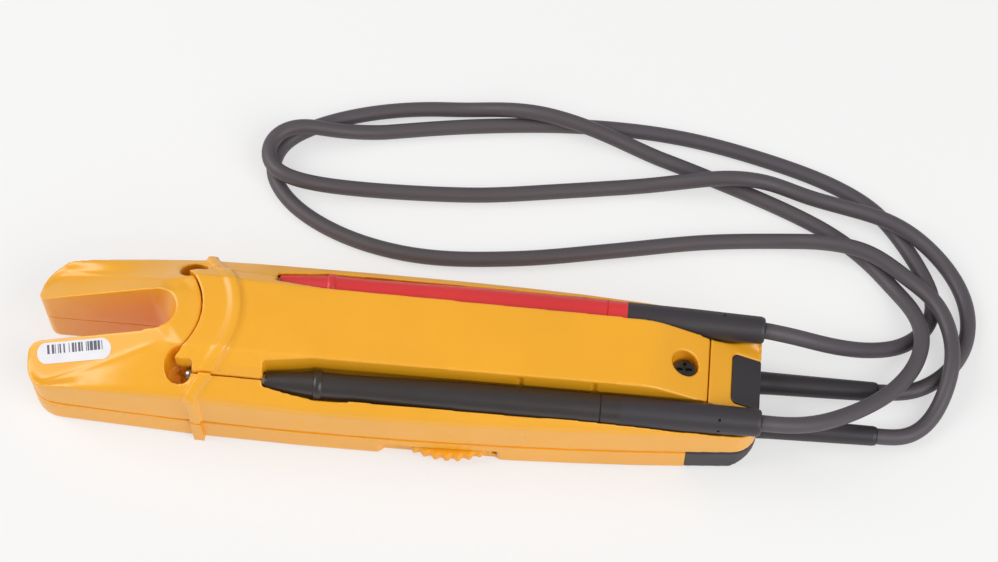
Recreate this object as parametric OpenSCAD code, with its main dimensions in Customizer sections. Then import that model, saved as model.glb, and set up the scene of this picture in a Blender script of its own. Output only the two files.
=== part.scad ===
// Open-fork current and voltage tester lying on its front face, with two fixed test leads.
// X runs along the body (fork at minus X, leads at plus X), Z is up, the front face is z = 0.

/* [Body] */
// Length of the body from fork tips to lead end
body_len = 223; // [220:0.5:229]
// Greatest width of the body without its finger guard
body_w = 49.6; // [49:0.1:52]
// Greatest height of the battery hump above the front face
body_h = 39; // [38.5:0.1:40]
// Height of the parting line between the two case halves
parting_h = 11.4; // [11:0.1:12]
// Case wall thickness
wall = 2.2; // [2:0.1:2.4]

/* [Fork] */
// Gap between the two prongs
jaw_gap = 13.8; // [12:0.1:14.6]
// Depth of the fork from its tips to its root
jaw_depth = 42.8; // [41:0.1:44]
// Extra opening of the gap at the tips
jaw_flare = 0.6; // [0:0.1:1]

/* [Selector wheel] */
// How far the knurled wheel stands out of each side
wheel_out = 2.2; // [1.6:0.1:2.6]
// Number of knurl teeth
wheel_teeth = 48; // [40:2:56]
// Radial play of the wheel on its spindle
wheel_play = 0.05; // [0.02:0.01:0.09]

/* [Leads] */
// Diameter of each test lead
cord_d = 5; // [4.6:0.1:5.1]
// Largest diameter of the probe grip
grip_d = 9.4; // [9:0.1:9.6]
// Diameter of the metal probe tip
tip_d = 4; // [3:0.1:4.4]
// Length of each strain relief outside the body
relief_len = 36.8; // [30:0.1:36.8]

/* [Battery] */
// Diameter of one cell
cell_d = 14.5; // [14:0.1:14.6]
// Length of one cell with its nub
cell_len = 50.5; // [49:0.1:50.6]

/* [Clearances] */
// Gap between pieces that move against each other
gap = 0.35; // [0.3:0.01:0.45]
// Play of pieces that sit in a seat
seat = 0.05; // [0.02:0.01:0.1]

/* [Hidden] */
$fn = 64;
tip_x = -body_len/2;
end_x = body_len/2;
root_x = tip_x + jaw_depth;
half_body = body_w/2;
mid_h = body_h - 2.8;

// Plan of the body: gently barrelled sides with rounded corners
wide_x = -9.8;
side_r = 0.02765*body_len*body_len;
tip_r = 9.5;
end_r = 8;
edge_c = 1.4;
arc_n = 6;
tip_cx = tip_x + tip_r;
end_cx = end_x - end_r;
ramp_x = end_x - 36.9;
hump_x = root_x + 8;
function half_w(x) = half_body - pow(x - wide_x, 2)/(2*side_r);
function spread(a, b, n) = [for (i = [1:n]) a + (b - a)*i/n];
function side_x() = concat(
    spread(tip_cx, hump_x, 8), spread(hump_x, ramp_x - 1, 8), spread(ramp_x - 1, ramp_x + 7, 4),
    spread(ramp_x + 7, end_cx - 3, 2));
function side_pts(d) = concat(
    [for (i = [0:arc_n]) let(a = 90*i/arc_n)
        [tip_cx - (tip_r - d)*cos(a), half_w(tip_cx) - tip_r + (tip_r - d)*sin(a)]],
    [for (x = side_x()) [x, half_w(x) - d]],
    [for (i = [0:arc_n]) let(a = 90*i/arc_n)
        [end_cx + (end_r - d)*sin(a), half_w(end_cx) - end_r + (end_r - d)*cos(a)]]);
function flip(p) = [for (i = [len(p) - 1:-1:0]) [p[i][0], -p[i][1]]];
function outline(d) = concat(side_pts(d), flip(side_pts(d)));

// Back of the body: hump that falls a little along its length, dished prong facets, ramp at the lead end
jaw_r = jaw_gap/2;
jaw_cx = root_x - jaw_r;
facet_rise = 0.37;
facet_fall = 0.54;
facet_x = root_x + 0.2;
ridge_y = 7.2;
ramp_slope = 0.5;
ramp_soft = 2;
side_h = mid_h - 11.2;
crease_w = 12.45;
wing_crease = 13.7;
crease = [[0, 19.9], [5.5, 19], [13.5, 17.5], [21.5, 15.8], [31.5, 13.3], [41.5, 10.8],
    [51, wing_crease], [82, wing_crease], [91, crease_w], [400, crease_w]];
crease_soft = [[0, 0.6], [41, 0.9], [55, 2], [85, 2], [100, 1], [400, 1]];
wall_fall = [[0, 5], [4.5, 3.6], [6.5, 1.7], [9.5, 0.8], [16.5, -0.1], [36.5, -1.2], [51.5, -1.7],
    [81.5, -0.5], [111.5, 0], [170, 0], [209, 1], [300, 5]];
flank_dip = [[0, 0], [45, 0], [53, 1.8], [84, 1.8], [94, 0.5], [105, 0], [400, 0]];
flank_at = 0.38;
top_fall = [[0, 0], [46, 0], [66, 0.7], [91, 1.9], [111, 2.5], [141, 3.2], [176, 4.2], [400, 12]];
soft = 0.9;
function facet_z(x, y) = body_h + facet_rise*(x - facet_x) - facet_fall*(y - ridge_y);
function soft_min(a, b, k) = let(h = max(k - abs(a - b), 0)) min(a, b) - h*h/(4*k);
function ramp_z(x) = mid_h - ramp_slope*(x - ramp_x);
function top_z(x) = soft_min(body_h - lookup(x - tip_x, top_fall), ramp_z(x), ramp_soft);
function deck_z(x, y) = min(top_z(x), facet_z(x, y));
function crease_y(x, y) = min(lookup(x - tip_x, crease), y - 2.5*soft);
function wall_z(x) = side_h - lookup(x - tip_x, wall_fall);

// Half of one cross-section, from the wall over the softened crease to the ridge, grown by g
function half_section(x, y, g) = let(
    c = crease_y(x, y),
    zc = deck_z(x, c) + g,
    zw = wall_z(x) + g/2,
    fall = (zc - zw)/(y + g - c),
    run = flank_at*(y + g - c),
    zf = zc - fall*run - lookup(x - tip_x, flank_dip),
    e = min(lookup(x - tip_x, crease_soft), 0.7*run)) [
    [x, y + g, parting_h],
    [x, y + g, zw - soft],
    [x, y + g - soft, zw + fall*soft],
    [x, c + run, zf],
    [x, c + e, zc - (zc - zf)*e/run],
    [x, c - e, deck_z(x, c - e) + g],
    [x, jaw_r - 1, deck_z(x, jaw_r - 1) + g]];
function section(x, y, g) = let(h = half_section(x, y, g), n = len(h))
    concat(h, [for (i = [n - 1:-1:0]) [h[i][0], -h[i][1], h[i][2]]]);

// Skin over rings of m points each, closed at both ends by the whole ring or by the faces in cap
module skin(rings, cap = []) {
    m = len(rings[0]);
    n = len(rings);
    first = len(cap) > 0 ? cap : [[for (k = [0:m - 1]) k]];
    sides = [for (i = [0:n - 2]) for (k = [0:m - 1]) let(j = (k + 1)%m)
        each [[i*m + k, (i + 1)*m + k, (i + 1)*m + j], [i*m + k, (i + 1)*m + j, i*m + j]]];
    ends = concat(first, [for (f = first) [for (i = [len(f) - 1:-1:0]) (n - 1)*m + f[i]]]);
    polyhedron([for (r = rings) each r], concat(ends, sides), convexity = 8);
}
// End faces of the body are fanned from their lower corners, because its walls rise past its middle
half_n = 7;
last_n = 2*half_n - 1;
body_cap = concat([for (k = [1:half_n - 2]) [0, k, k + 1]], [[0, half_n - 1, half_n, last_n]],
    [for (k = [half_n:last_n - 2]) [last_n, k, k + 1]]);
module loft(g) skin([for (p = side_pts(0)) section(p[0], p[1], g)], body_cap);
module slab(d, z0, z1) translate([0, 0, z0]) linear_extrude(z1 - z0) polygon(outline(d));
module box(x, y, z) translate([x[0], y[0], z[0]]) cube([x[1] - x[0], y[1] - y[0], z[1] - z[0]]);
module post(p, z, r) translate([p[0], p[1], z[0]]) cylinder(h = z[1] - z[0], r = r);
module rod(x, p, r) translate([x[0], p[0], p[1]]) rotate([0, 90, 0]) cylinder(h = x[1] - x[0], r = r);
module both_sides() {
    children();
    mirror([0, 1, 0]) children();
}
module pill(x, half_run, r, z) {
    for (s = [-1, 1]) post([x + s*half_run, 0], z, r);
    box([x - half_run, x + half_run], [-r, r], z);
}
module turned(pts) rotate([0, 90, 0]) rotate_extrude() polygon(pts);

// Fork slot with a round root, a slight flare and rounded inner corners, widened by d
mouth_y = jaw_r + jaw_flare/2;
mouth_r = 3.4;
scoop_z = body_h - 14;
scoop_tilt = 14;
scoop_r = jaw_r - 0.2;
module fork_scoop() translate([jaw_cx, 0, scoop_z]) rotate([0, scoop_tilt, 0]) cylinder(h = 30, r = scoop_r);
module fork_gap(d, z) translate([0, 0, z[0]]) linear_extrude(z[1] - z[0]) {
    translate([jaw_cx, 0]) circle(r = jaw_r + d);
    half = [[jaw_cx, jaw_r + d], [tip_x - 1, mouth_y + d]];
    polygon(concat(half, flip(half)));
    both_sides() difference() {
        translate([tip_x - 1, mouth_y - 1]) square(mouth_r + 1);
        translate([tip_x + mouth_r, mouth_y + mouth_r]) circle(r = mouth_r);
        translate([tip_x, mouth_y + mouth_r]) square(3);
    }
}

// Probe axis, from the tip end near the fork to the lead end, mirrored for the other probe
grip_r = grip_d/2;
pin_r = tip_d/2;
core_r = 1.5;
core_len = 12;
probe_a = [root_x + 6.8, half_body - 8.1, mid_h - 7.3];
probe_b = [end_x, half_body - 9.3, mid_h - 11.7];
probe_run = probe_b - probe_a;
probe_len = norm(probe_run);
probe_axis = probe_run/probe_len;
nose_s = 25;
ring_s = 41;
ring_at = ring_s - 2;
split_s = probe_len - 48;
boot_s = probe_len - 42;
nose_r = 2.6;
nose_w = nose_r - 0.1;
ledge = 4.1;
pin_room = 0.4;
seat_room = 0.15;
module at_probe() translate(probe_a)
    rotate([0, -atan2(probe_run[2], probe_run[0]), atan2(probe_run[1], probe_run[0])]) children();
module groove_plan(c) {
    far = probe_len + 20;
    polygon([[nose_s - 0.6, -nose_w - c], [ring_at, -ledge - c], [far, -ledge - c],
        [far, grip_r + c], [ring_at, grip_r + c], [nose_s - 0.6, nose_w + c]]);
}
module groove(c) at_probe() {
    translate([nose_s - 0.6, 0, 0]) rotate([0, 90, 0])
        cylinder(h = ring_at - nose_s + 0.6, r1 = nose_r + c, r2 = grip_r + c - 0.2);
    rod([ring_at - 0.4, probe_len + 20], [0, 0], grip_r + c);
    linear_extrude(14) groove_plan(c);
}
module pin_way() at_probe() rod([-2.6, nose_s + 1], [0, 0], pin_r + pin_room);

// Door over the battery bay: round front edge, wings over the probe tips, deck below it
collar_cx = root_x - 8.4;
collar_r = 19.4;
deck = mid_h - 12.2;
door_end = end_x - 16;
wing_y = half_body - 7.1;
wing_x = probe_a[0] + ring_at;
step_y = half_body - 11.4;
window_r = 4.3;
window = [probe_a[0] - 0.8, probe_a[1] - 0.6];
door_lip = window[1] - 1;
module windows() both_sides() post(window, [deck + 1, body_h + 9], window_r);
module door_plan(d) difference() {
    half = [[collar_cx, door_lip - d], [window[0] + d, door_lip - d], [window[0] + d, wing_y - d],
        [wing_x - d, wing_y - d], [wing_x - d, step_y - d], [door_end - d, step_y - d]];
    polygon(concat(half, flip(half)));
    translate([collar_cx, 0]) circle(r = collar_r + d);
}

// Finger guard: a bead over the door that runs on as a rib down both sides
guard_x = root_x + 8.3;
guard_cx = root_x - 4.8;
guard_r = 26.2;
guard_w = 3.2;
guard_h = 1.3;
collar_lift = 0.6;
rib_w = 3.2;
module guard_plan() polygon([[guard_x + 4.2, wing_y - 0.1], [guard_x + 8, wing_y - 0.1],
    [guard_x + rib_w, half_body - 1.4], [guard_x + rib_w, half_body + 5],
    [guard_x, half_body + 5], [guard_x, half_body - 1.4]]);
module disc_cut(r) translate([0, 0, parting_h]) linear_extrude(40) translate([guard_cx, 0]) circle(r = r);

// Door screw, battery bay and case screws
screw_x = end_x - 23.6;
screw_r = 1.5;
head_r = 3.2;
head_h = 2;
sink_r = 4.1;
well = [6, 6.6];
well_z = deck - 4;
screw_z = well_z + 3;
cell_r = cell_d/2;
cell_z = mid_h - 10;
spring_run = 3.4;
plate_t = 0.6;
bay_b = ramp_x - 17.4;
bay_a = bay_b - plate_t - 2*cell_len - spring_run;
stop_t = 1.6;
stop_y = 7;
stop_h = 6;
cavity_z = cell_z - cell_r - wall;
stud_r = 1.25;
stud_head = [2.6, 1.8];
stud_pts = [[root_x + 15.2, 10.8], [ramp_x - 8.2, 8.2]];
boss_r = 3.2;
module studs(r, z) for (p = stud_pts) both_sides() post(p, z, r);

// Board, display, selector and key
board_z = parting_h + 1.2;
board_t = 1.6;
board_x = [root_x + 9, end_x - 27.5];
board_y = half_body - 6.3;
wheel_x = root_x + 0.4795*(end_x - root_x);
wheel_r = half_body + wheel_out;
wheel_z = [wall + gap, wall + gap + 3.6];
dial_r = 12.4;
dial_z = 0.7;
hub_r = 6.4;
hub_h = 2.5;
track = [9, 21];
web = 1.6;
spindle_r = 3;
tooth_h = 1.3;
tooth_form = [0, 0.2, 1, 0.8];
lens_x = [root_x + 22, wheel_x - wheel_r - 5.4];
lens_y = 12.8;
lens_step = 1;
key_x = end_x - 52;
key_run = 3.5;
key_r = 4;
key_stroke = 1;

// Lead anchor at the end of the body
block_x = end_x - 21.2;
tab_x = end_x - 9;
tab_y = 8.1;
tab_r = 1.6;
tab_lift = 0.2;
tab_root = 3;
relief_y = 7.5;
relief_z = 4.7;
relief_r = 3.6;
relief_in = 8;
module tab_plan(d) {
    for (s = [-1, 1]) translate([tab_x + tab_r, s*(tab_y - tab_r)]) circle(r = tab_r + d);
    translate([tab_x + tab_r, -tab_y - d]) square([20, 2*(tab_y + d)]);
    translate([tab_x - d, tab_r - tab_y]) square([20, 2*(tab_y - tab_r)]);
}

// Sensing coils inside the prongs
coil_y = (mouth_y + half_w(tip_cx))/2;
coil_r = 4.4;
coil_z = wall + 6;
coil_x = [tip_x + 9, tip_x + 28];
rod_r = 2.2;
cradle_w = 2;

parting_line = 0.45;
module lower_shell() {
    skin([for (s = [[0, parting_h - 2*parting_line], [0, edge_c], [edge_c, 0]])
        [for (p = outline(s[0])) [p[0], p[1], s[1]]]]);
    slab(parting_line, parting_h - 1, parting_h);
}

module front_case() color("#f5a81c") difference() {
    union() {
        difference() {
            union() {
                lower_shell();
                intersection() {
                    slab(-guard_h, 0, parting_h);
                    both_sides() linear_extrude(parting_h) guard_plan();
                }
            }
            difference() {
                slab(wall, wall, parting_h + 1);
                fork_gap(wall, [0, 30]);
            }
        }
        studs(boss_r, [wall - 0.1, board_z]);
        both_sides() for (x = [coil_x[0] + 1, coil_x[1] - cradle_w - 1])
            box([x, x + cradle_w], [coil_y - coil_r, coil_y + coil_r], [wall - 0.1, coil_z - 2]);
    }
    fork_gap(0, [-1, 30]);
    box([block_x, end_x + 5], [-40, 40], [-1, 30]);
    box(lens_x, [-lens_y, lens_y], [-1, wall + 1]);
    box([lens_x[0] - lens_step, lens_x[1] + lens_step], [-lens_y - lens_step, lens_y + lens_step],
        [lens_step, wall + 1]);
    pill(key_x, key_run, key_r + gap, [-1, wall + 1]);
    post([wheel_x, 0], [-1, wall + 1], dial_r + gap);
    post([wheel_x, 0], [wall, wheel_z[1] + gap], wheel_r + 2*gap);
    both_sides() finger_notch();
    studs(stud_r + seat, [wall + 2, board_z + 1]);
    both_sides() rod(coil_x, [coil_y, coil_z], coil_r + seat);
}
notch_d = 1.9;
module finger_notch() {
    floor_y = half_w(wheel_x) - notch_d;
    linear_extrude(2*(wheel_z[1] + 1), center = true) polygon([[wheel_x - 22.8, half_body + 2],
        [wheel_x - 19.4, floor_y], [wheel_x + 15, floor_y], [wheel_x + 19, half_body + 2]]);
}

module back_case() color("#f2a51a") difference() {
    union() {
        difference() {
            union() {
                loft(0);
                intersection() {
                    loft(guard_h);
                    both_sides() translate([0, 0, parting_h]) linear_extrude(40) guard_plan();
                }
            }
            cavity();
            translate([0, 0, deck]) linear_extrude(40) door_plan(0);
            box([screw_x - well[0], screw_x + well[0]], [-well[1], well[1]], [well_z, body_h]);
            rod([bay_a, bay_b], [0, cell_z], cell_r + seat);
            box([bay_a, bay_b], [-cell_r - seat, cell_r + seat], [cell_z, body_h]);
        }
        for (x = [bay_a - stop_t, bay_b])
            box([x, x + stop_t], [-stop_y, stop_y], [deck - 1, cell_z + stop_h]);
    }
    fork_gap(0, [-1, 60]);
    fork_scoop();
    both_sides() groove(seat_room);
    both_sides() pin_way();
    windows();
    translate([0, 0, -1]) linear_extrude(60) tab_plan(seat);
    studs(stud_r + 0.4, [0, 50]);
    studs(stud_head[0] + 0.4, [deck - stud_head[1] - 0.4, 50]);
    post([screw_x, 0], [0, 50], screw_r + 0.1);
}
module cavity() difference() {
    slab(wall, parting_h - 1, cavity_z);
    fork_gap(wall, [0, 60]);
    box([tab_x - 4, end_x], [-40, 40], [0, 60]);
    studs(boss_r, [board_z + board_t, 60]);
    post([screw_x, 0], [parting_h + 0.6, 60], boss_r);
}

roof_x = [min(collar_cx + collar_r + 2.6, bay_a - stop_t - gap), max(ramp_x - 4, bay_b + stop_t + gap)];
module battery_door() color("#f8b021") difference() {
    union() {
        intersection() {
            loft(0);
            translate([0, 0, deck + gap]) linear_extrude(40) door_plan(gap);
        }
        intersection() {
            loft(collar_lift);
            translate([0, 0, deck + gap]) linear_extrude(40) door_plan(gap);
            disc_cut(guard_r);
        }
        difference() {
            intersection() {
                loft(guard_h);
                translate([0, 0, deck + 2]) linear_extrude(40) door_plan(gap);
                disc_cut(guard_r + guard_w/2);
            }
            disc_cut(guard_r - guard_w/2);
        }
        box([screw_x - well[0] + gap, screw_x + well[0] - gap], [gap - well[1], well[1] - gap],
            [well_z + gap, deck + 2]);
    }
    box(roof_x, [-stop_y - 2.6, stop_y + 2.6], [deck - 1, cell_z + cell_r + gap]);
    both_sides() groove(seat_room + gap);
    both_sides() at_probe() translate([0, 0, -30]) linear_extrude(40) groove_plan(seat_room + gap);
    both_sides() pin_way();
    both_sides() at_probe() box([-9, nose_s + 1], [-pin_r - pin_room, pin_r + pin_room], [-12, 0]);
    difference() {
        windows();
        box([tip_x, end_x], [-door_lip, door_lip], [0, 60]);
    }
    post([screw_x, 0], [screw_z, 60], sink_r);
    post([screw_x, 0], [0, 60], screw_r + 0.1);
    both_sides() for (x = [wheel_x + 20.8, wheel_x + 42.8])
        box([x, x + 1.6], [crease_w - 1.8, crease_w + 2], [deck - 4, deck + 9.4]);
}

module door_screw() color("#3a3a3c") difference() {
    union() {
        post([screw_x, 0], [screw_z, screw_z + head_h], head_r);
        post([screw_x, 0], [parting_h + 2, screw_z + 0.1], screw_r);
    }
    for (a = [0, 90]) translate([screw_x, 0, screw_z + head_h/2]) rotate([0, 0, a])
        translate([-head_r*0.7, -0.45, 0]) cube([head_r*1.4, 0.9, head_h]);
}

module end_block() color("#47464b") difference() {
    union() {
        intersection() {
            lower_shell();
            box([block_x, end_x + 5], [-40, 40], [-1, 30]);
        }
        intersection() {
            loft(tab_lift);
            translate([0, 0, parting_h + tab_root]) linear_extrude(40) tab_plan(0);
        }
        translate([0, 0, parting_h - 1]) linear_extrude(tab_root + 1.4) intersection() {
            tab_plan(0);
            polygon(outline(seat));
        }
    }
    box([block_x - 1, tab_x - 1.5], [-16, 16], [wall, parting_h + 1]);
    translate([end_x - 8.6, -40, 0]) rotate([0, -41, 0]) translate([0, 0, -20]) cube([40, 80, 20]);
    both_sides() rod([end_x - relief_in, end_x + 5], [relief_y, relief_z], relief_r + seat);
}

module relief() translate([end_x, relief_y, relief_z]) turned([[0, -relief_in], [relief_r, -relief_in],
    [relief_r, 1], [3.5, 4], [3.05, relief_len - 1], [2.85, relief_len], [0, relief_len]]);
module relief_red() color("#4b4a50") relief();
module relief_black() color("#4b4a50") mirror([0, 1, 0]) relief();

module probe_pin() at_probe() turned([[0, 0], [0.5, 0.1], [pin_r - 0.2, 1.4], [pin_r, 2.2], [pin_r, nose_s],
    [core_r, nose_s], [core_r, nose_s + core_len], [0, nose_s + core_len]]);
module probe_grip() at_probe() difference() {
    turned([[0, nose_s], [nose_r - 0.1, nose_s], [nose_r + 0.1, nose_s + 0.5], [3.9, ring_s - 1.4],
        [4.3, ring_s - 1.1], [4.5, ring_s - 0.5], [4.5, ring_s + 0.5],
        [4.3, ring_s + 1.1], [4, ring_s + 1.5], [3.95, ring_s + 9], [4.2, ring_s + 24],
        [grip_r - 0.1, ring_s + 45], [grip_r, split_s - 8], [grip_r, split_s - 0.3],
        [grip_r - 0.3, split_s], [0, split_s]]);
    rod([nose_s - 1, nose_s + core_len + seat], [0, 0], core_r + seat);
}
module probe_collar() at_probe() turned([[0, split_s], [grip_r - 0.3, split_s], [grip_r, split_s + 0.3],
    [grip_r, boot_s], [0, boot_s]]);
module probe_boot() at_probe() difference() {
    turned([[0, boot_s], [grip_r, boot_s], [grip_r - 0.1, boot_s + 18], [4.2, probe_len - 1.2],
        [3.9, probe_len - 0.3], [3.5, probe_len], [0, probe_len]]);
    for (a = [28, 79]) rotate([-a, 0, 0]) translate([probe_len - 12.6, 0, 3.4]) cylinder(h = 3, r = 0.45);
}
module red_tip() color("#9a958c") probe_pin();
module black_tip() color("#9a958c") mirror([0, 1, 0]) probe_pin();
module red_grip() color("#d8333f") probe_grip();
module black_grip() color("#3b3a3d") mirror([0, 1, 0]) probe_grip();
module red_collar() color("#d8333f") probe_collar();
module black_collar() color("#3b3a3d") mirror([0, 1, 0]) probe_collar();
module red_boot() color("#45444a") probe_boot();
module black_boot() color("#45444a") mirror([0, 1, 0]) probe_boot();

module selector_wheel() color("#f0a324") translate([wheel_x, 0, 0]) difference() {
    union() {
        translate([0, 0, wheel_z[0]]) linear_extrude(wheel_z[1] - wheel_z[0]) polygon([
            for (i = [0:wheel_teeth*4 - 1])
                let(a = 90*i/wheel_teeth, r = wheel_r - tooth_h*tooth_form[i%4]) [r*cos(a), r*sin(a)]]);
        translate([0, 0, dial_z]) cylinder(h = wheel_z[0], r = dial_r);
        cylinder(h = wheel_z[1] + hub_h, r = hub_r);
    }
    translate([0, 0, -1]) cylinder(h = dial_z + 1, r = dial_r + 1);
    translate([0, 0, dial_z + wall]) cylinder(h = 20, r = spindle_r + wheel_play);
    translate([0, 0, wheel_z[0] + web]) rotate_extrude() translate([track[0], 0])
        square([track[1] - track[0], 10]);
    translate([-1.2, 3, 0]) cube([2.4, dial_r - 4, dial_z + 0.8]);
}
module wheel_spindle() color("#8d8f93") translate([wheel_x, 0, 0]) {
    shoulder = wheel_z[1] + hub_h + gap;
    translate([0, 0, dial_z + wall + gap]) cylinder(h = board_z - dial_z - wall - gap, r = spindle_r);
    translate([0, 0, shoulder]) cylinder(h = board_z - shoulder, r = hub_r - 1.2);
}
module detent_spring() color("#b9bcc2") translate([wheel_x, 0, 0]) {
    leaf = 0.5;
    low = wheel_z[0] + web + gap;
    box([track[0] + 3, track[1]], [-2, 2], [board_z - leaf, board_z]);
    box([track[0] + 3, track[0] + 3 + leaf], [-2, 2], [low, board_z]);
    box([track[0] + 3, track[0] + 8], [-2, 2], [low, low + leaf]);
}
module hold_button() color("#d9a02a") {
    pill(key_x, key_run, key_r, [0.6, wall + 2]);
    pill(key_x, key_run, key_r + 1, [wall + gap, wall + gap + 1]);
}
module key_pad() color("#6a6a70") {
    pill(key_x, key_run - 1, key_r - 1.6, [wall + 2 + key_stroke + gap, board_z]);
    pill(key_x, key_run + 0.5, key_r + 0.4, [board_z - 1, board_z]);
}
module display_lens() color("#cfd8dc") {
    box([lens_x[0] + seat, lens_x[1] - seat], [seat - lens_y, lens_y - seat], [0.4, lens_step + 0.1]);
    inset = lens_step - seat;
    box([lens_x[0] - inset, lens_x[1] + inset], [-lens_y - inset, lens_y + inset], [lens_step, wall]);
}
module display_unit() color("#9fb2a2") {
    rim = lens_step + 0.8;
    foot = 3;
    box([lens_x[0] - lens_step, lens_x[1] + lens_step], [-lens_y - rim, lens_y + rim], [wall, wall + 3]);
    both_sides() for (x = [lens_x[0], lens_x[1] - foot])
        box([x, x + foot], [lens_y - foot, lens_y], [wall + 2.9, board_z]);
}
module main_board() color("#2f6b45") difference() {
    box(board_x, [-board_y, board_y], [board_z, board_z + board_t]);
    studs(stud_r + 0.25, [0, 40]);
}
module sounder() color("#2b2b2e") difference() {
    post([ramp_x - 0.6, 0], [board_z + board_t, cavity_z - gap], 5.2);
    post([ramp_x - 0.6, 0], [cavity_z - 1.2, cavity_z], 0.8);
}

module coil() difference() {
    rod(coil_x, [coil_y, coil_z], coil_r);
    rod([coil_x[0] - 1, coil_x[1] + 1], [coil_y, coil_z], rod_r + seat);
}
module core() rod([coil_x[0] - 2, coil_x[1] + 3], [coil_y, coil_z], rod_r);
module far_coil() color("#b5703a") coil();
module near_coil() color("#b5703a") mirror([0, 1, 0]) coil();
module far_core() color("#55565a") core();
module near_core() color("#55565a") mirror([0, 1, 0]) core();

module cell(x) translate([x, 0, cell_z]) turned([
    [0, 0.3], [cell_r - 2, 0.3], [cell_r - 1.6, 0], [cell_r - 0.5, 0], [cell_r, 0.5],
    [cell_r, cell_len - 1.8], [cell_r - 0.5, cell_len - 1.3], [2.7, cell_len - 1.3],
    [2.7, cell_len - 0.2], [2.4, cell_len], [0, cell_len]]);
module front_cell() color("#2d4a7c") cell(bay_a + spring_run);
module rear_cell() color("#2d4a7c") cell(bay_a + spring_run + cell_len);
contact_y = stop_y - 1.5;
contact_z = [cell_z - 4.2, cell_z + stop_h - 1];
wire_r = 0.4;
spring_turns = 2;
turn_n = 12;
function spring_pt(i) = let(t = i/(turn_n*spring_turns), a = 360*i/turn_n, r = 4.6 - 1.4*t)
    [plate_t/2 + t*(spring_run - wire_r - plate_t/2), r*cos(a), r*sin(a)];
function spring_ring(i) = let(
    t = unit(spring_pt(i + 1) - spring_pt(i - 1)),
    u = unit(cross(t, [1, 0, 0])),
    v = cross(u, t)) [for (k = [0:7]) spring_pt(i) + wire_r*(u*cos(45*k) - v*sin(45*k))];
module spring_contact() color("#c9ccd1") {
    box([bay_a, bay_a + plate_t], [-contact_y, contact_y], contact_z);
    translate([bay_a, 0, cell_z]) skin([for (i = [0:turn_n*spring_turns]) spring_ring(i)]);
}
module plate_contact() color("#c9ccd1") box([bay_b - plate_t, bay_b], [-contact_y, contact_y], contact_z);
module case_screws() color("#9a9da3") {
    studs(stud_head[0], [deck - stud_head[1] - 0.4, deck - 0.4]);
    studs(stud_r, [wall + 3, deck - 1]);
}

// White sticker on the near prong, laid on its facet
tag_x = tip_x + 15.4;
tag_y = 11;
tag_r = 3.2;
tag_run = 9.6;
tag_t = 0.2;
module tag() color("#eef0f2") translate([tag_x, -tag_y, facet_z(tag_x, tag_y)])
    rotate([atan(facet_fall*cos(atan(facet_rise))), -atan(facet_rise), 0]) {
        translate([-tag_run, -tag_r, 0]) cube([2*tag_run, 2*tag_r, tag_t]);
        for (s = [-1, 1]) translate([s*tag_run, 0, 0]) cylinder(h = tag_t, r = tag_r);
    }

// Routes of the two leads, from the strain relief round the loop and back to the docked probe
red_route = concat([[end_x + relief_len, relief_y, relief_z]], [
    [160, 9.5, 2.8], [170.5, 17, 2.6], [176.5, 28, 2.6], [176.8, 40, 2.6], [172.5, 51, 2.8],
    [165.5, 58.5, 5], [157.5, 63.5, 7.9], [149, 67.5, 8.4], [138, 71.5, 6.4], [125, 76, 4],
    [112, 78.7, 6.8], [99, 78.3, 8.4],
    [87, 77.3, 6.2], [73, 76.2, 3], [46, 72, 2.6], [18, 68, 2.6], [-27, 66, 4.6],
    [-41, 65.8, 8.2], [-48.1, 68.8, 8.3], [-51.1, 75.9, 8.2], [-48.1, 83, 8.3], [-41, 86, 8.4],
    [-31, 86.5, 6], [-17, 88.8, 2.7], [14, 94, 2.6], [50, 97.2, 2.6], [82, 95.8, 2.6], [110, 89.8, 2.6],
    [134, 81.5, 2.6], [147, 73.5, 2.6], [155, 64, 2.6], [162, 52.5, 2.6], [166.3, 41.5, 2.6],
    [164.5, 32.5, 2.6], [157.5, 25.5, 2.8], [146, 20, 8], [133, 16.6, 15.6], [121, 15.4, 22.2]], [probe_b]);
black_route = concat([[end_x + relief_len, -relief_y, relief_z]], [
    [158, -6.5, 3.2], [165, -0.5, 2.8], [168.8, 7, 5.2], [171.2, 17, 8.3], [170.8, 28, 7.6],
    [166.3, 38.5, 8.2], [157, 47, 7.4], [145, 54.8, 8.3], [132, 58, 6.8], [118, 59.3, 3.2],
    [93, 57, 2.6], [64, 51.3, 2.6],
    [34, 45.8, 2.6], [4, 43.8, 2.6], [-18, 47.5, 2.6], [-35, 55, 2.6], [-45, 63.5, 2.6], [-49.5, 73, 2.6],
    [-47, 82, 2.6], [-38, 89, 2.6], [-22, 95.5, 2.6], [-4, 99.2, 2.6], [12, 100.2, 2.8], [25, 99.6, 5.8],
    [36, 97.8, 8.2], [47, 95.4, 8.2], [58, 92.6, 6.6], [73, 88.4, 2.8], [128, 66.5, 2.6],
    [144, 55.5, 2.6], [154, 44.5, 2.9], [159.3, 35.6, 6.6], [162, 26.5, 8.7], [160, 16, 9], [153, 6, 10],
    [142, -3.8, 14.2], [129, -11.8, 19.4], [119, -15, 23]], [[probe_b[0], -probe_b[1], probe_b[2]]]);
cord_sides = 10;
function unit(v) = v/norm(v);
function heading(p, i, last) = i == 0 ? [1, 0, 0] : i == len(p) - 1 ? last : unit(p[i + 1] - p[i - 1]);
function cord_ring(c, t) = let(u = unit(cross(t, [0, 0, 1])), v = cross(u, t))
    [for (k = [0:cord_sides - 1]) let(a = 360*k/cord_sides) c + cord_d/2*(u*cos(a) - v*sin(a))];
module cord(route, last) skin([for (i = [0:len(route) - 1]) cord_ring(route[i], heading(route, i, last))]);
module red_cord() color("#454349") cord(red_route, -probe_axis);
module black_cord() color("#3f3d42") cord(black_route, [-probe_axis[0], probe_axis[1], -probe_axis[2]]);

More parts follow.
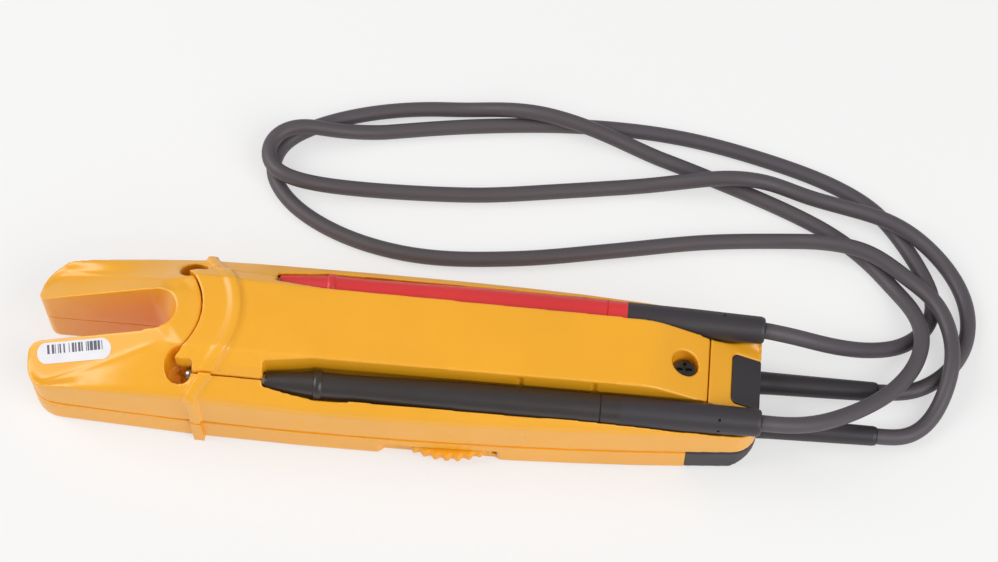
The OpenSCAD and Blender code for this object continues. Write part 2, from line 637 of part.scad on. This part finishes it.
front_case();
back_case();
battery_door();
door_screw();
end_block();
relief_red();
relief_black();
red_tip();
black_tip();
red_grip();
black_grip();
red_collar();
black_collar();
red_boot();
black_boot();
red_cord();
black_cord();
selector_wheel();
wheel_spindle();
detent_spring();
hold_button();
key_pad();
display_lens();
display_unit();
main_board();
sounder();
far_coil();
near_coil();
far_core();
near_core();
front_cell();
rear_cell();
spring_contact();
plate_contact();
case_screws();
tag();
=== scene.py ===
import math

import bmesh
import bpy
import numpy as np
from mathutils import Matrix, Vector


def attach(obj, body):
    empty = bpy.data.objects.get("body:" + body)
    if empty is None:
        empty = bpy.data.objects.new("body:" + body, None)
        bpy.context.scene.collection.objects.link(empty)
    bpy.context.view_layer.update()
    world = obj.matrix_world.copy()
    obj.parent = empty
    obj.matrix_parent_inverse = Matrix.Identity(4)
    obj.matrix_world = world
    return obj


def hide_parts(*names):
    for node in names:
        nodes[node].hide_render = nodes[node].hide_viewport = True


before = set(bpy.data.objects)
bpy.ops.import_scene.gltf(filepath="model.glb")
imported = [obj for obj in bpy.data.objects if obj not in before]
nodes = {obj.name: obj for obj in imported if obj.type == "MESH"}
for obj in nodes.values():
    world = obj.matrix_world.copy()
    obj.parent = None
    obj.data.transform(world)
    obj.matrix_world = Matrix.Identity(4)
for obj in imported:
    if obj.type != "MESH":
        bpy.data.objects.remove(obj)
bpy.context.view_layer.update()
scene = bpy.context.scene
scene.view_settings.view_transform = "Standard"
MM = 0.001


def placed(name, data):
    """A new object for the data, linked to the scene."""
    obj = bpy.data.objects.new(name, data)
    scene.collection.objects.link(obj)
    return obj


# Camera at the photo's viewing angle: tilt, roll and pan in degrees
CAMERA_PLACE = (62.0323, -309.5811, 651.5424)
CAMERA_TURN = (28.2261, 0.1926, 5.1875)
camera = bpy.data.cameras.new("camera")
camera.sensor_fit = "HORIZONTAL"
camera.sensor_width = 36
camera.lens = 83.37
camera.clip_start = 0.01
camera_obj = placed("camera", camera)
camera_obj.location = Vector(CAMERA_PLACE) * MM
camera_obj.rotation_euler = [math.radians(angle) for angle in CAMERA_TURN]
scene.camera = camera_obj


# Leads: the route points of the solids in millimetres, run through by one smooth curve
ROUTES = {
    "red": [
        (148.3, 7.5, 4.7), (160, 9.5, 2.8), (170.5, 17, 2.6), (176.5, 28, 2.6), (176.8, 40, 2.6),
        (172.5, 51, 2.8), (165.5, 58.5, 5), (157.5, 63.5, 7.9), (149, 67.5, 8.4), (138, 71.5, 6.4),
        (125, 76, 4), (112, 78.7, 6.8), (99, 78.3, 8.4), (87, 77.3, 6.2), (73, 76.2, 3), (46, 72, 2.6),
        (18, 68, 2.6), (-27, 66, 4.6), (-41, 65.8, 8.2), (-48.1, 68.8, 8.3), (-51.1, 75.9, 8.2),
        (-48.1, 83, 8.3), (-41, 86, 8.4), (-31, 86.5, 6), (-17, 88.8, 2.7), (14, 94, 2.6), (50, 97.2, 2.6),
        (82, 95.8, 2.6), (110, 89.8, 2.6), (134, 81.5, 2.6), (147, 73.5, 2.6), (155, 64, 2.6),
        (162, 52.5, 2.6), (166.3, 41.5, 2.6), (164.5, 32.5, 2.6), (157.5, 25.5, 2.8), (146, 20, 8),
        (133, 16.6, 15.6), (121, 15.4, 22.2), (111.5, 15.5, 24.5)],
    "black": [
        (148.3, -7.5, 4.7), (158, -6.5, 3.2), (165, -0.5, 2.8), (168.8, 7, 5.2), (171.2, 17, 8.3),
        (170.8, 28, 7.6), (166.3, 38.5, 8.2), (157, 47, 7.4), (145, 54.8, 8.3), (132, 58, 6.8),
        (118, 59.3, 3.2), (93, 57, 2.6), (64, 51.3, 2.6), (34, 45.8, 2.6), (4, 43.8, 2.6), (-18, 47.5, 2.6),
        (-35, 55, 2.6), (-45, 63.5, 2.6), (-49.5, 73, 2.6), (-47, 82, 2.6), (-38, 89, 2.6), (-22, 95.5, 2.6),
        (-4, 99.2, 2.6), (12, 100.2, 2.8), (25, 99.6, 5.8), (36, 97.8, 8.2), (47, 95.4, 8.2), (58, 92.6, 6.6),
        (73, 88.4, 2.8), (128, 66.5, 2.6), (144, 55.5, 2.6), (154, 44.5, 2.9), (159.3, 35.6, 6.6),
        (162, 26.5, 8.7), (160, 16, 9), (153, 6, 10), (142, -3.8, 14.2), (129, -11.8, 19.4), (119, -15, 23),
        (111.5, -15.5, 24.5)],
}
CORD_R = 2.5
FLOOR_GAP = 0.06
RUN_IN = (-8, 0, 0)
RUN_OUT = (-8, 0, 0.3)
SPAN_POINTS = 12
ROUTE_STEP = 1.6
RELAX_PASSES = 12


def on_line(a, b, start, stop, t):
    """The point for t on the line that is at a for start and at b for stop."""
    return (a * (stop - t) + b * (t - start)) / (stop - start)


def catmull_rom(points):
    """A centripetal Catmull-Rom curve from the second to the last point but one."""
    line = []
    for a, b, c, d in zip(points[:-3], points[1:-2], points[2:-1], points[3:]):
        knots = np.cumsum([0] + [np.linalg.norm(v - u) ** 0.5 for u, v in ((a, b), (b, c), (c, d))])
        for t in np.linspace(knots[1], knots[2], SPAN_POINTS, endpoint=False):
            ab = on_line(a, b, knots[0], knots[1], t)
            bc = on_line(b, c, knots[1], knots[2], t)
            cd = on_line(c, d, knots[2], knots[3], t)
            abc = on_line(ab, bc, knots[0], knots[2], t)
            bcd = on_line(bc, cd, knots[1], knots[3], t)
            line.append(on_line(abc, bcd, knots[1], knots[2], t))
    return np.array(line + [points[-2]])


def lengths(line):
    return np.linalg.norm(np.diff(line, axis=0), axis=1)


def smooth_route(points):
    """The lead's centreline in even steps, relaxed a little with both ends held."""
    points = np.array(points, float)
    line = catmull_rom(np.vstack([points[0] + RUN_IN, points, points[-1] + RUN_OUT]))
    run = np.concatenate([[0], np.cumsum(lengths(line))])
    at = np.linspace(0, run[-1], int(run[-1] / ROUTE_STEP) + 1)
    line = np.stack([np.interp(at, run, line[:, axis]) for axis in range(3)], 1)
    for _ in range(RELAX_PASSES):
        line[2:-2] += 0.5 * ((line[1:-3] + line[3:-1]) / 2 - line[2:-2])
    line[:, 2] = np.maximum(line[:, 2], CORD_R + FLOOR_GAP)
    return line


def lead(colour, route):
    line = smooth_route(route)
    curve = bpy.data.curves.new(colour + "_lead", "CURVE")
    curve.dimensions = "3D"
    # At a depth of 1, each point's own radius is the lead's
    curve.bevel_depth = 1
    curve.bevel_resolution = 6
    curve.use_fill_caps = True
    spline = curve.splines.new("POLY")
    spline.points.add(len(line) - 1)
    for point, place in zip(spline.points, line):
        point.co = (*(place * MM), 1)
        point.radius = CORD_R * MM
    spline.use_smooth = True
    obj = placed(colour + "_lead", curve)
    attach(obj, "case")
    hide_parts(colour + "_cord")
    return obj


leads = [lead(colour, route) for colour, route in ROUTES.items()]


# Materials
class Nodes:
    """A small helper that builds one procedural material."""

    def __init__(self, name, **fixed):
        self.mat = bpy.data.materials.new(name)
        self.mat.use_nodes = True
        self.tree = self.mat.node_tree
        self.shader = self.tree.nodes["Principled BSDF"]
        for key, value in fixed.items():
            self.shader.inputs[key.replace("_", " ")].default_value = value
        self.coords = self.add("ShaderNodeTexCoord").outputs["Object"]

    def add(self, kind, **settings):
        node = self.tree.nodes.new(kind)
        for key, value in settings.items():
            setattr(node, key, value)
        return node

    def link(self, a, b):
        self.tree.links.new(a, b)

    def noise(self, scale, detail=3.0, rough=0.5, stretch=None):
        node = self.add("ShaderNodeTexNoise")
        node.inputs["Scale"].default_value = scale
        node.inputs["Detail"].default_value = detail
        node.inputs["Roughness"].default_value = rough
        source = self.coords
        if stretch:
            mapping = self.add("ShaderNodeMapping")
            mapping.inputs["Scale"].default_value = stretch
            self.link(source, mapping.inputs["Vector"])
            source = mapping.outputs["Vector"]
        self.link(source, node.inputs["Vector"])
        return node.outputs["Fac"]

    def ramp(self, source, stops):
        node = self.add("ShaderNodeValToRGB")
        ends = node.color_ramp.elements
        while len(ends) < len(stops):
            ends.new(0.5)
        for element, (place, colour) in zip(ends, stops):
            element.position = place
            element.color = (*colour, 1)
        self.link(source, node.inputs["Fac"])
        return node.outputs["Color"]

    def drift(self, scale, detail, low, high):
        """A slow change from one colour to another."""
        return self.ramp(self.noise(scale, detail), [(0.3, low), (0.7, high)])

    def span(self, source, low, high):
        node = self.add("ShaderNodeMapRange")
        for key, value in (("From Min", 0.3), ("From Max", 0.7), ("To Min", low), ("To Max", high)):
            node.inputs[key].default_value = value
        self.link(source, node.inputs["Value"])
        return node.outputs["Result"]

    def math(self, kind, a, b):
        node = self.add("ShaderNodeMath", operation=kind)
        self.link(a, node.inputs[0])
        if isinstance(b, float):
            node.inputs[1].default_value = b
        else:
            self.link(b, node.inputs[1])
        return node.outputs[0]

    def mix(self, fac, source, colour):
        node = self.add("ShaderNodeMix", data_type="RGBA")
        self.link(fac, node.inputs["Factor"])
        self.link(source, node.inputs[6])
        node.inputs[7].default_value = (*colour, 1)
        return node.outputs[2]

    def colour(self, source):
        self.link(source, self.shader.inputs["Base Color"])

    def rough(self, source):
        self.link(source, self.shader.inputs["Roughness"])

    def bump(self, source, strength, distance):
        node = self.add("ShaderNodeBump")
        node.inputs["Strength"].default_value = strength
        node.inputs["Distance"].default_value = distance
        self.link(source, node.inputs["Height"])
        self.link(node.outputs["Normal"], self.shader.inputs["Normal"])


WHITE = (1, 1, 1)
BLACK = (0, 0, 0)
SPECK_COLOUR = (0.16, 0.075, 0.02)
GRAIN_DEPTH = 0.04 * MM
BRUSH_DEPTH = 0.03 * MM


def shade(colour, gain):
    return tuple(min(1.0, c * gain) for c in colour)


def with_specks(m, tone):
    """A few dark moulding specks over the tone, only where a slow noise is high."""
    dots = m.add("ShaderNodeTexVoronoi")
    dots.inputs["Scale"].default_value = 75
    m.link(m.coords, dots.inputs["Vector"])
    near = m.ramp(dots.outputs["Distance"], [(0.0, WHITE), (0.016, WHITE), (0.03, BLACK)])
    rare = m.ramp(m.noise(21, 2), [(0.6, BLACK), (0.66, WHITE)])
    return m.mix(m.math("MULTIPLY", near, rare), tone, SPECK_COLOUR)


def moulded(name, colour, rough, grain, specks=False, **fixed):
    """Moulded plastic: a slow drift of tone, a fine spark-eroded grain and, on the case, a few specks."""
    m = Nodes(name, **fixed)
    tone = m.drift(28, 4, shade(colour, 0.955), shade(colour, 1.03))
    if specks:
        tone = with_specks(m, tone)
    m.colour(tone)
    m.rough(m.span(m.noise(160, 3), rough - 0.04, rough + 0.05))
    m.bump(m.noise(2600, 2, 0.6), grain, GRAIN_DEPTH)
    return m.mat


def metal(name, colour, rough, brushed=(1, 1, 1)):
    """Metal with a slow drift of tone and fine marks, drawn out along the axes with the lower scales."""
    m = Nodes(name, Metallic=1.0)
    m.colour(m.drift(240, 4, shade(colour, 0.8), shade(colour, 1.1)))
    m.rough(m.span(m.noise(900, 3, 0.6, brushed), rough - 0.08, rough + 0.1))
    m.bump(m.noise(1600, 2, 0.5, brushed), 0.15, BRUSH_DEPTH)
    return m.mat


TAG_MIDDLE = (-96.1, -11, 26.736)
TAG_TURN = (26.86, -20.3, 0)
BAR_STEP = 0.27
BAR_FIELD = (("X", -9.2, 10.2), ("Y", -0.3, 2.5))
INK = (0.1, 0.1, 0.14)


def sticker():
    """White film with a plain row of printed bars along its upper half."""
    m = Nodes("sticker_film")
    plane = m.add("ShaderNodeMapping", vector_type="TEXTURE")
    plane.inputs["Location"].default_value = tuple(c * MM for c in TAG_MIDDLE)
    plane.inputs["Rotation"].default_value = tuple(math.radians(angle) for angle in TAG_TURN)
    plane.inputs["Scale"].default_value = (MM, MM, MM)
    m.link(m.coords, plane.inputs["Vector"])
    axes = m.add("ShaderNodeSeparateXYZ")
    m.link(plane.outputs["Vector"], axes.inputs[0])
    chance = m.add("ShaderNodeTexWhiteNoise", noise_dimensions="1D")
    m.link(m.math("SNAP", axes.outputs["X"], BAR_STEP), chance.inputs["W"])
    ink = m.math("GREATER_THAN", chance.outputs["Value"], 0.5)
    for axis, low, high in BAR_FIELD:
        ink = m.math("MULTIPLY", ink, m.math("GREATER_THAN", axes.outputs[axis], low))
        ink = m.math("MULTIPLY", ink, m.math("LESS_THAN", axes.outputs[axis], high))
    paper = m.drift(180, 3, (0.8, 0.79, 0.83), (0.86, 0.85, 0.88))
    m.colour(m.mix(ink, paper, INK))
    m.rough(m.span(m.noise(700, 3), 0.34, 0.46))
    return m.mat


def clear_lens():
    m = Nodes("lens_clear", Transmission_Weight=0.85, IOR=1.49)
    m.colour(m.drift(60, 2, (0.82, 0.87, 0.88), (0.9, 0.93, 0.93)))
    m.rough(m.span(m.noise(400, 3), 0.03, 0.09))
    return m.mat


def cell_wrap():
    m = Nodes("cell_wrap", Metallic=0.35)
    m.colour(m.drift(300, 3, (0.02, 0.05, 0.16), (0.03, 0.07, 0.2)))
    m.rough(m.span(m.noise(300, 3), 0.24, 0.36))
    return m.mat


YELLOW = (0.935, 0.422, 0.009)
ALONG_X = (1, 12, 12)
ACROSS_X = (10, 1, 1)
WOUND = (14, 1, 1)
mats = {
    "case": moulded("case_yellow", YELLOW, 0.36, 0.14, specks=True, Specular_IOR_Level=0.9),
    "door": moulded("door_yellow", shade(YELLOW, 1.02), 0.36, 0.14, specks=True, Specular_IOR_Level=0.9),
    "wheel": moulded("wheel_yellow", (0.93, 0.4, 0.009), 0.42, 0.1, Specular_IOR_Level=0.5),
    "block": moulded("block_grey", (0.036, 0.031, 0.036), 0.5, 0.3, Specular_IOR_Level=0.5),
    "boot": moulded("boot_vinyl", (0.04, 0.034, 0.04), 0.46, 0.25, Specular_IOR_Level=0.5),
    "jacket": moulded("lead_vinyl", (0.088, 0.075, 0.084), 0.5, 0.2, Specular_IOR_Level=0.5),
    "black": moulded("grip_black", (0.034, 0.028, 0.027), 0.34, 0.08, Specular_IOR_Level=0.6),
    "red": moulded("grip_red", (0.74, 0.038, 0.042), 0.32, 0.08, Specular_IOR_Level=0.6),
    # The pins' metal is darker and warmer than plain steel: painted shade of the window they sit in, and
    # painted reflection of the orange case
    "pin": metal("pin_metal_painted_shade", (0.42, 0.36, 0.31), 0.22, ALONG_X),
    "steel": metal("plain_steel", (0.6, 0.6, 0.61), 0.3, ACROSS_X),
    "screw": metal("screw_black", (0.1, 0.094, 0.09), 0.24),
    "copper": metal("winding", (0.5, 0.19, 0.07), 0.4, WOUND),
    "ferrite": moulded("ferrite", (0.07, 0.07, 0.075), 0.6, 0.4),
    "board": moulded("board_mask", (0.02, 0.12, 0.05), 0.35, 0.2),
    "display": moulded("display_panel", (0.3, 0.36, 0.3), 0.25, 0.05),
    "pad": moulded("key_rubber", (0.09, 0.09, 0.1), 0.6, 0.3),
    "sticker": sticker(),
    "lens": clear_lens(),
    "cell": cell_wrap(),
}
FINISH = {
    "case": ("front_case", "back_case"),
    "door": ("battery_door",),
    "wheel": ("selector_wheel", "hold_button"),
    "block": ("end_block",),
    "boot": ("relief_red", "relief_black", "red_boot", "black_boot"),
    "jacket": ("red_cord", "black_cord"),
    "black": ("black_grip", "black_collar", "sounder"),
    "red": ("red_grip", "red_collar"),
    "pin": ("red_tip", "black_tip"),
    "steel": ("wheel_spindle", "detent_spring", "spring_contact", "plate_contact", "case_screws"),
    "screw": ("door_screw",),
    "copper": ("far_coil", "near_coil"),
    "ferrite": ("far_core", "near_core"),
    "board": ("main_board",),
    "display": ("display_unit",),
    "pad": ("key_pad",),
    "sticker": ("tag",),
    "lens": ("display_lens",),
    "cell": ("front_cell", "rear_cell"),
}
finish_of = {node: mats[finish] for finish, names in FINISH.items() for node in names}
for node, mat in finish_of.items():
    materials = nodes[node].data.materials
    materials.clear()
    materials.append(mat)
for obj in leads:
    obj.data.materials.append(mats["jacket"])


# Moulded pieces with their edges rounded, each in place of its plain solid
WELD = 0.002 * MM
FLAT_ANGLE = 1.2
EDGE_ANGLE = 28


def welded(node):
    """The node's solid with the corners of its faces joined."""
    bm = bmesh.new()
    bm.from_mesh(nodes[node].data)
    bmesh.ops.remove_doubles(bm, verts=bm.verts, dist=WELD)
    return bm


def stands_for(obj, node, body):
    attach(obj, body)
    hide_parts(node)


def rounded(node, body, width):
    """A small round on every sharp edge, for a piece whose fine recesses have to stay."""
    mesh = nodes[node].data.copy()
    mesh.name = node + "_rounded"
    bm = welded(node)
    bmesh.ops.dissolve_limit(bm, angle_limit=math.radians(FLAT_ANGLE), verts=bm.verts, edges=bm.edges)
    for face in bm.faces:
        face.smooth = True
    bm.to_mesh(mesh)
    bm.free()
    obj = placed(node + "_rounded", mesh)
    bevel = obj.modifiers.new("round", "BEVEL")
    bevel.width = width * MM
    bevel.segments = 3
    bevel.limit_method = "ANGLE"
    bevel.angle_limit = math.radians(EDGE_ANGLE)
    bevel.miter_outer = "MITER_ARC"
    normals = obj.modifiers.new("normals", "WEIGHTED_NORMAL")
    normals.keep_sharp = True
    normals.weight = 60
    stands_for(obj, node, body)


def in_cells(node, cell):
    """A copy of the node's solid, remeshed in even cells."""
    bm = welded(node)
    plain = bpy.data.meshes.new(node + "_plain")
    bm.to_mesh(plain)
    bm.free()
    obj = placed(node + "_soft", plain)
    cells = obj.modifiers.new("cells", "REMESH")
    cells.mode = "VOXEL"
    cells.voxel_size = cell * MM
    cells.use_smooth_shade = True
    graph = bpy.context.evaluated_depsgraph_get()
    obj.data = bpy.data.meshes.new_from_object(obj.evaluated_get(graph))
    obj.data.name = node + "_soft"
    obj.modifiers.clear()
    bpy.data.meshes.remove(plain)
    return obj


def vectors(items, key):
    """One vector for each of the mesh's items, as rows."""
    flat = np.empty(len(items) * 3)
    items.foreach_get(key, flat)
    return flat.reshape(-1, 3)


def relaxed(mesh, passes):
    """The mesh's points after each has moved towards its neighbours, as often as its own count of passes."""
    place = vectors(mesh.vertices, "co")
    count = len(place)
    ends = np.empty(len(mesh.edges) * 2, np.int32)
    mesh.edges.foreach_get("vertices", ends)
    a, b = ends[0::2], ends[1::2]
    degree = np.bincount(ends, minlength=count)[:, None]
    for i in range(passes.max()):
        sums = [np.bincount(a, place[b, k], count) + np.bincount(b, place[a, k], count) for k in range(3)]
        place += 0.5 * (np.stack(sums, 1) / degree - place) * (passes > i)[:, None]
    return place


def softened(node, body, cell, passes, keep, zones=(), moves=()):
    """Moulding radii on every edge: the solid in fine cells, smoothed and thinned out again.

    A zone is a function of the points and their normals with the passes that it adds or takes away.
    A move gives each point's shift after that, in millimetres.
    """
    obj = in_cells(node, cell)
    mesh = obj.data
    facing = vectors(mesh.vertices, "normal")
    start = vectors(mesh.vertices, "co") / MM
    total = np.full(len(start), passes)
    for zone, more in zones:
        total = np.where(zone(start, facing), passes + more, total)
    place = relaxed(mesh, total)
    for move in moves:
        place += move(place / MM, facing) * MM
    mesh.vertices.foreach_set("co", place.ravel())
    mesh.materials.clear()
    mesh.materials.append(finish_of[node])
    lean = obj.modifiers.new("lean", "DECIMATE")
    lean.ratio = keep
    normals = obj.modifiers.new("normals", "WEIGHTED_NORMAL")
    normals.weight = 50
    stands_for(obj, node, body)


# Zones of the case that are softer or crisper than the rest, in millimetres
BEAD_X = -73.5
BEAD_R = 26.2
BEAD_HALF = 2.7
BEAD_LOW = 25
RIB_X = (-61.6, -51.5)
RIB_INNER = 17.6
SEAM_X = (-60, -38)
SEAM_SIDE = (16.2, 18.8)
SEAM_LOW = 30
SEAM_MIDDLE = 17.5
LIP_REACH = 0.5
LIP_SHIFT = 0.1
PRONG_END = -66
PRONG_SIDE = (9.2, 22.5)
PRONG_FACING = 0.55
CREASE_X = (-111.5, -106, -98, -90, -80, -70)
CREASE_SIDE = (19.9, 19, 17.5, 15.8, 13.3, 10.8)
CREASE_FADE_X = (-109, -104, -74, -69)
CREASE_HIGH = 0.3
CREASE_HALF = 0.75
CREASE_FACING = 0.4


def inside(values, ends):
    return (values > ends[0]) & (values < ends[1])


def bead(p, n):
    """The finger-guard bead round the front of the door."""
    return (np.abs(np.hypot(p[:, 0] - BEAD_X, p[:, 1]) - BEAD_R) < BEAD_HALF) & (p[:, 2] > BEAD_LOW)


def ribs(p, n):
    """The bead's run down the sides of the case."""
    return inside(p[:, 0], RIB_X) & (np.abs(p[:, 1]) > RIB_INNER)


def seam(p, n):
    """The lips over the probe pins, which stay crisp so that the line between door and case is thin."""
    return inside(p[:, 0], SEAM_X) & inside(np.abs(p[:, 1]), SEAM_SIDE) & (p[:, 2] > SEAM_LOW)


def prongs(p, n):
    """The broad back of the two prongs, away from their edges."""
    return (p[:, 0] < PRONG_END) & (n[:, 2] > PRONG_FACING) & inside(np.abs(p[:, 1]), PRONG_SIDE)


def crease(p, n):
    """A fine raised line where each prong's top facet meets its flank."""
    off = np.abs(p[:, 1]) - np.interp(p[:, 0], CREASE_X, CREASE_SIDE)
    fade = np.interp(p[:, 0], CREASE_FADE_X, (0, 1, 1, 0))
    rise = CREASE_HIGH * np.exp(-(off / CREASE_HALF) ** 2) * fade * (n[:, 2] > CREASE_FACING)
    return np.outer(rise, (0, 0, 1))


def lips_out(p, n):
    """A small shift of the lips over the pins, away from the middle of the part."""
    near = seam(p, n) * np.exp(-((np.abs(p[:, 1]) - SEAM_MIDDLE) / LIP_REACH) ** 2)
    return np.outer(np.sign(p[:, 1]) * near * LIP_SHIFT, (0, 1, 0))


def lips_in(p, n):
    """The same shift towards the middle."""
    return -lips_out(p, n)


softened("back_case", "case", cell=0.4, passes=3, keep=0.25,
         zones=[(ribs, 9), (prongs, 26), (seam, -2)], moves=[crease, lips_in])
softened("battery_door", "door", cell=0.35, passes=3, keep=0.3,
         zones=[(bead, 12), (seam, -2)], moves=[lips_out])
softened("end_block", "case", cell=0.35, passes=3, keep=0.3)
softened("selector_wheel", "wheel", cell=0.3, passes=14, keep=0.3)
rounded("front_case", "case", width=0.4)
rounded("hold_button", "key", width=0.3)


# Floor and light
FLOOR_MIDDLE = (0.06, 0.04)
FLOOR_RINGS = (0.3, 0.8, 2.0, 5.0)
FLOOR_SIDES = 48
FLOOR_GLOW = (0.95, 0.947, 0.944, 1)
FLOOR_COLOUR = (0.9, 0.898, 0.895, 1)
SHADOW_SHARE = 0.4
DOME_STRENGTH = 0.35
BOX_AIM = Vector((0.03, 0.02, 0.02))
BOX_SIDE = 0.95


def floor_mesh():
    bm = bmesh.new()
    angles = [2 * math.pi * i / FLOOR_SIDES for i in range(FLOOR_SIDES)]
    x, y = FLOOR_MIDDLE
    rows = [[bm.verts.new((x + r * math.cos(a), y + r * math.sin(a), 0)) for a in angles]
            for r in FLOOR_RINGS]
    middle = bm.verts.new((x, y, 0))
    for i in range(FLOOR_SIDES):
        j = (i + 1) % FLOOR_SIDES
        bm.faces.new((middle, rows[0][i], rows[0][j]))
        for inner, outer in zip(rows, rows[1:]):
            bm.faces.new((inner[i], outer[i], outer[j], inner[j]))
    mesh = bpy.data.meshes.new("floor")
    bm.to_mesh(mesh)
    bm.free()
    return mesh


def floor_white():
    """White to the camera and in reflections, with the object's shadow, and plain pale to all other light."""
    mat = bpy.data.materials.new("floor_white")
    mat.use_nodes = True
    tree = mat.node_tree
    tree.nodes.clear()

    def add(kind):
        return tree.nodes.new("ShaderNode" + kind)

    def greater(a, b):
        node = add("Math")
        node.operation = "MAXIMUM"
        tree.links.new(a, node.inputs[0])
        tree.links.new(b, node.inputs[1])
        return node.outputs[0]

    def mixed(a, b):
        node = add("MixShader")
        tree.links.new(a, node.inputs[1])
        tree.links.new(b, node.inputs[2])
        return node

    glow = add("Emission")
    glow.inputs["Color"].default_value = FLOOR_GLOW
    plain = add("BsdfDiffuse")
    plain.inputs["Color"].default_value = FLOOR_COLOUR
    seen = mixed(glow.outputs[0], plain.outputs[0])
    seen.inputs["Fac"].default_value = SHADOW_SHARE
    pick = mixed(plain.outputs[0], seen.outputs[0])
    ray = add("LightPath").outputs
    direct = greater(ray["Is Camera Ray"], ray["Is Glossy Ray"])
    tree.links.new(greater(direct, ray["Is Transmission Ray"]), pick.inputs["Fac"])
    tree.links.new(pick.outputs[0], add("OutputMaterial").inputs["Surface"])
    return mat


def soft_box(name, place, power):
    light = bpy.data.lights.new(name, "AREA")
    light.shape = "RECTANGLE"
    light.size = BOX_SIDE
    light.size_y = BOX_SIDE
    light.energy = power
    obj = placed(name, light)
    obj.location = place
    obj.rotation_mode = "QUATERNION"
    obj.rotation_quaternion = (BOX_AIM - Vector(place)).to_track_quat("-Z", "Y")


floor = placed("floor", floor_mesh())
floor.data.materials.append(floor_white())
world = bpy.data.worlds.new("studio")
world.use_nodes = True
dome = world.node_tree.nodes["Background"]
dome.inputs["Color"].default_value = (1, 1, 1, 1)
dome.inputs["Strength"].default_value = DOME_STRENGTH
scene.world = world
soft_box("left", (-0.95, 0.06, 0.88), 10.0)
soft_box("right", (0.81, -0.6, 0.85), 9.5)

bpy.context.view_layer.update()
